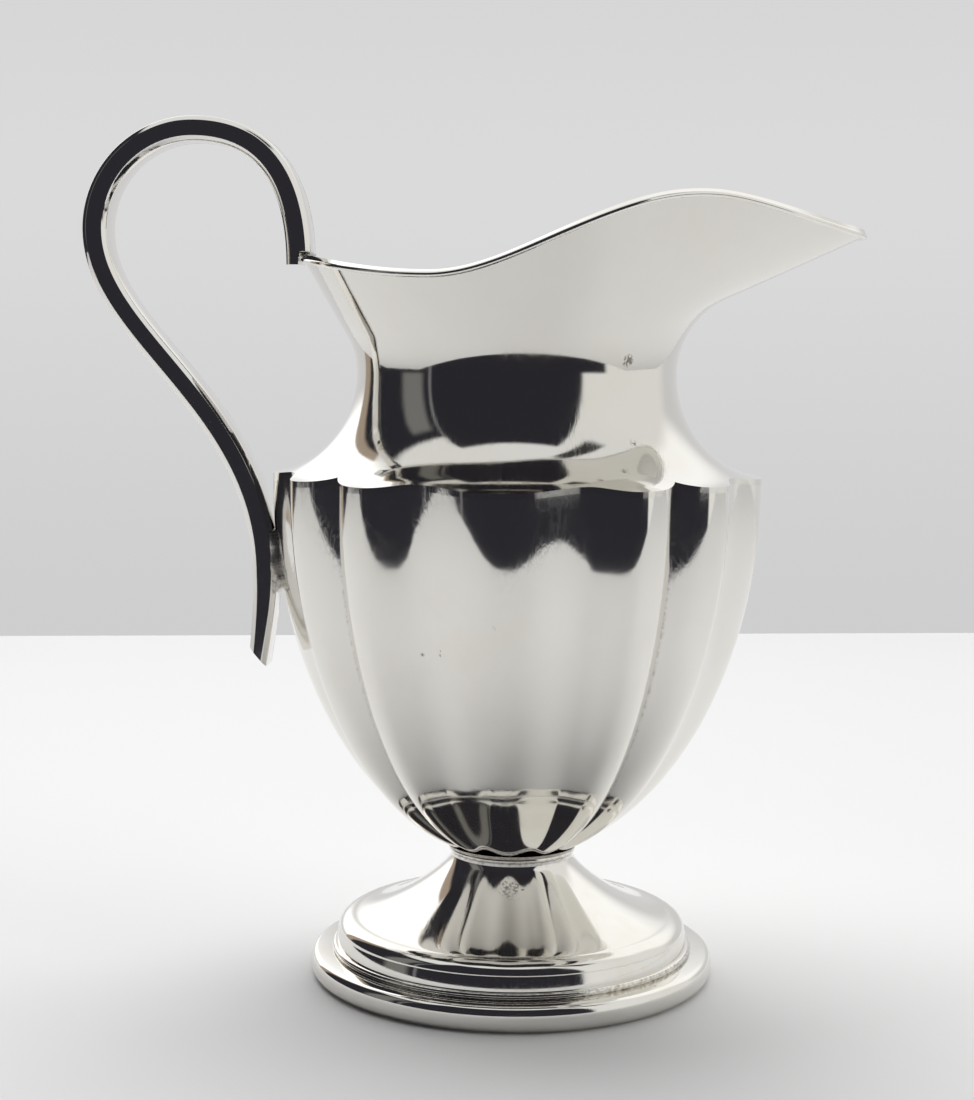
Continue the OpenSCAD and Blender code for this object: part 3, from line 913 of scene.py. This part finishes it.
WORN_SPOTS = (  # outline, degrees from the spout, height, size, strength
    (foot_at, -87, 13, 3.2, 0.70), (neck_at, -46, 78, 1.1, 1.1), (neck_at, -49, 68.5, 0.9, 0.95),
    (neck_at, -57, 65.5, 0.9, 0.95), (bowl_at, -105, 45, 0.5, 1.2), (bowl_at, -91, 48.5, 0.4, 1.2))
for piece in (bowl, neck, mouth_wire, shoulder_joint, collar, foot_joint, foot, ring, ring_joint,
              handle, rim_joint, bowl_joint):
    mesh = piece.data
    points = np.empty(len(mesh.vertices) * 3)
    mesh.vertices.foreach_get("co", points)
    points = points.reshape(-1, 3) / MM
    worn = np.zeros(len(points))
    for outline_at, angle, height, size, strength in WORN_SPOTS:
        spot = on_surface(outline_at(angle), angle, height)
        worn = np.maximum(worn, strength * bell(np.linalg.norm(points - spot, axis=1), size))
    for key, values in (("shelter", sheltered(piece.name, *points.T)), ("worn", worn)):
        mesh.attributes.new(key, "FLOAT", "POINT").data.foreach_set("value", values)
print("shelter and wear stored")

# %% [markdown]
# ## Every piece in its place
# Each piece says which body it moves with, which solid it stands for and which
# finish it has. Nothing on the jug moves, so the body is always the root.

# %% Pieces
PIECES = (
    (bowl, "bowl", "silver_body", silver_body),
    (neck, "neck_and_spout", "silver_body", silver_neck),
    (mouth_wire, "rim_wire", "silver_wire", silver_wire),
    (shoulder_joint, "shoulder_solder", "silver_solder", silver_solder),
    (collar, "foot_collet", "silver_foot", silver_foot),
    (foot_joint, "foot_solder", "silver_solder", silver_solder),
    (foot, "foot_shell", "silver_foot", silver_foot),
    (ring, "foot_ring", "silver_foot", silver_foot),
    (ring_joint, "foot_ring_solder", "silver_solder", silver_solder),
    (handle, "handle", "silver_handle", silver_strap),
    (rim_joint, "handle_top_solder", "silver_solder", silver_solder),
    (bowl_joint, "handle_tail_solder", "silver_solder", silver_solder))
for piece, node, slot_name, finish in PIECES:
    piece.data.materials.clear()
    piece.data.materials.append(finish)
    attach(piece, "root")
    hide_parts(node)
print(len(PIECES), "pieces")

# %% [markdown]
# ## Table
# The jug stands on a pale table whose far edge shows behind it. Its near edge is
# not seen by the camera, but the jug sees it: below the shoulder the silver
# mirrors the table, and above that the dark room in front of it. So the table
# has to end where the mirrored edge wants it.

# %% Table
def matt(name, colour, roughness=0.7):
    material = bpy.data.materials.new(name)
    material.use_nodes = True
    tree = material.node_tree
    shader = tree.nodes["Principled BSDF"]
    shader.inputs["Roughness"].default_value = roughness
    shader.inputs["Specular IOR Level"].default_value = 0.1
    place = add(tree, "ShaderNodeTexCoord").outputs["Object"]
    tone = ramp(tree, noise(tree, place, 9.0, 3.0), 0.0, 1.0, 0.985, 1.0)
    tinted = add(tree, "ShaderNodeVectorMath", {0: colour, 3: tone}, operation="SCALE")
    tree.links.new(tinted.outputs[0], shader.inputs["Base Color"])
    return material


TABLE_BACK, TABLE_FRONT, TABLE_HALF = 0.288, -0.19, 0.8    # metres
EDGE_TURN = math.radians(4.5)         # the far edge looks level past the leaning camera
corners = [Vector((x, y, 0)) for x, y in ((-TABLE_HALF, TABLE_FRONT), (TABLE_HALF, TABLE_FRONT),
                                          (TABLE_HALF, TABLE_BACK), (-TABLE_HALF, TABLE_BACK))]
table_mesh = bpy.data.meshes.new("table")
table_mesh.from_pydata([Matrix.Rotation(heading + EDGE_TURN, 4, "Z") @ c for c in corners],
                       [], [(0, 1, 2, 3)])
table_mesh.materials.append(matt("pale_table", (0.9, 0.9, 0.905)))
table = linked("table", table_mesh)
print("table, mm:", [tuple(round(v / MM) for v in c) for c in corners])

# %% [markdown]
# ## Light
# A polished jug shows its surroundings, so the light is built as surroundings: a
# bright even tent overhead and behind, and a dark room on the side where the
# viewer stands. They could be planes that glow, but panels painted on the world
# by azimuth and height above the horizon are simpler to place and have no noise.
# One node group is such a panel with soft edges; they are laid over each other.

# %% World
tree, given = shader_group(
    "panel",
    {"Under": (COLOUR, (1, 1, 1, 1)), "Colour": (COLOUR, (1, 1, 1, 1)),
     "Azimuth": (FLOAT, 0.0), "Height": (FLOAT, 0.0), "Middle": (FLOAT, 0.0),
     "Half Width": (FLOAT, 30.0), "Bottom": (FLOAT, 0.0), "Top": (FLOAT, 30.0),
     "Soft": (FLOAT, 2.0)},
    {"Colour": COLOUR})
away = maths(tree, "SUBTRACT", given["Azimuth"], given["Middle"])
away = maths(tree, "WRAP", away, 180.0, -180.0)
away = maths(tree, "ABSOLUTE", away)
mask = None
for value, edge, sign in ((away, given["Half Width"], -1), (given["Height"], given["Bottom"], 1),
                          (given["Height"], given["Top"], -1)):
    distance = maths(tree, "MULTIPLY", maths(tree, "SUBTRACT", value, edge), float(sign))
    near = maths(tree, "MULTIPLY", given["Soft"], -1.0)
    one = ramp(tree, distance, near, given["Soft"], smooth=True)
    mask = one if mask is None else maths(tree, "MULTIPLY", mask, one)
laid = mixed_colour(tree, mask, given["Under"], given["Colour"])
add(tree, "NodeGroupOutput", {"Colour": laid})
panel_group = tree
print("panel group", len(tree.nodes), "nodes")

# %% [markdown]
# Azimuth is 0 towards the viewer's side and grows towards the spout, and height is
# the angle above the horizon; both are in degrees. Later panels cover earlier ones.

# %% Surroundings
ALL_ROUND = 181          # half width, a little over half a turn
TENT = (0.86, 0.86, 0.85)
DARK_ROOM = (0.027, 0.026, 0.033)
PANELS = (  # colour, middle azimuth and half width, bottom and top, softness of the edge
    ((0.72, 0.72, 0.73), 180, ALL_ROUND, -90, 20, 6),      # grey backdrop low down
    ((1.2, 1.2, 1.19), 165, 50, 20, 58, 8),                # screen behind and above
    ((1.7, 1.7, 1.7), -148, 17, 8, 45, 6),                 # window behind on the left
    ((0.88, 0.88, 0.86), 88, 40, -90, 42, 8),              # white screen on the right
    ((0.42, 0.34, 0.27), -126, 7, -90, 44, 1),             # brown curtain
    (DARK_ROOM, -92, 32, -90, 52, 2),                      # dark room, left part
    ((0.20, 0.20, 0.195), -75, 9, -2, 44, 3),              # pale post in it
    (DARK_ROOM, -5, 55, -90, 66, 2),                       # dark room in front
    (DARK_ROOM, 55, 14, -90, -4, 2),                       # its floor on the right
    ((0.05, 0.05, 0.05), 78, 10, 55, 76, 3))               # dark pane high on the right

world = bpy.data.worlds.new("studio")
bpy.context.scene.world = world
world.use_nodes = True
tree = world.node_tree
tree.nodes.clear()
toward_sky = add(tree, "ShaderNodeTexCoord").outputs["Generated"]
parts = add(tree, "ShaderNodeSeparateXYZ", {0: toward_sky}).outputs
DEGREES = 180 / math.pi
azimuth = maths(tree, "MULTIPLY",
                maths(tree, "ARCTAN2", parts[0], maths(tree, "MULTIPLY", parts[1], -1.0)),
                DEGREES)
height = maths(tree, "MULTIPLY", maths(tree, "ARCSINE", parts[2]), DEGREES)
surroundings = None
for colour, middle, half, bottom, top, soft in PANELS:
    panel = tree.nodes.new("ShaderNodeGroup")
    panel.node_tree = panel_group
    for key, value in (("Colour", (*colour, 1)), ("Middle", middle), ("Half Width", half),
                       ("Bottom", bottom), ("Top", top), ("Soft", soft)):
        panel.inputs[key].default_value = value
    tree.links.new(azimuth, panel.inputs["Azimuth"])
    tree.links.new(height, panel.inputs["Height"])
    if surroundings is None:
        panel.inputs["Under"].default_value = (*TENT, 1)
    else:
        tree.links.new(surroundings, panel.inputs["Under"])
    surroundings = panel.outputs[0]
around = add(tree, "ShaderNodeBackground", {"Color": surroundings, "Strength": 1.0})

# The camera itself sees a plain grey backdrop, brightest a little above the table
seen = add(tree, "ShaderNodeLightPath")
low = ramp(tree, height, -9.0, 6.0, 0.62, 0.71, smooth=True)
high = ramp(tree, height, 2.0, 14.0, 1.0, 0.915, smooth=True)
backdrop = add(tree, "ShaderNodeBackground",
               {"Color": (1.0, 1.0, 1.01, 1), "Strength": maths(tree, "MULTIPLY", low, high)})
mixed = add(tree, "ShaderNodeMixShader", {0: seen.outputs["Is Camera Ray"],
                                          1: around.outputs[0], 2: backdrop.outputs[0]})
add(tree, "ShaderNodeOutputWorld", {"Surface": mixed.outputs[0]})
bpy.context.scene.view_settings.view_transform = "Standard"
print(len(PANELS), "panels around the jug")

# %% [markdown]
# The tent alone leaves the table a little dull. A large softbox behind and above
# lights it and draws the soft shadow towards the viewer. It stands close enough
# for its light to fall off towards the near edge, and a flag, the black card that
# keeps light off something in a studio, shades the table in front of the jug. Both
# are hidden from mirrored rays, so the silver shows only the surroundings above.

# %% Softbox
SOFTBOX_SIZE, SOFTBOX_WATTS = (0.55, 0.32), 1.85
SOFTBOX_AT, SOFTBOX_AIM = Vector((-0.06, 0.17, 0.62)), Vector((0, 0.05, 0.03))
box_data = bpy.data.lights.new("softbox", "AREA")
box_data.shape = "RECTANGLE"
box_data.size, box_data.size_y = SOFTBOX_SIZE
box_data.energy = SOFTBOX_WATTS
softbox = linked("softbox", box_data)
softbox.location = SOFTBOX_AT
softbox.rotation_euler = (SOFTBOX_AIM - SOFTBOX_AT).to_track_quat("-Z", "Y").to_euler()
softbox.visible_glossy = False

FLAG_X, FLAG_Y, FLAG_Z = (-65, 85), (-400, -130), 300    # millimetres
flag_mesh = mesh_from("flag", [(FLAG_X[0], FLAG_Y[0], FLAG_Z), (FLAG_X[1], FLAG_Y[0], FLAG_Z),
                               (FLAG_X[1], FLAG_Y[1], FLAG_Z), (FLAG_X[0], FLAG_Y[1], FLAG_Z)],
                      faces=[(0, 1, 2, 3)])
flag_mesh.materials.append(matt("black_card", (0.03, 0.03, 0.03)))
flag = linked("flag", flag_mesh)
flag.visible_camera = flag.visible_glossy = False
print("softbox at, mm:", [round(v / MM) for v in softbox.location])
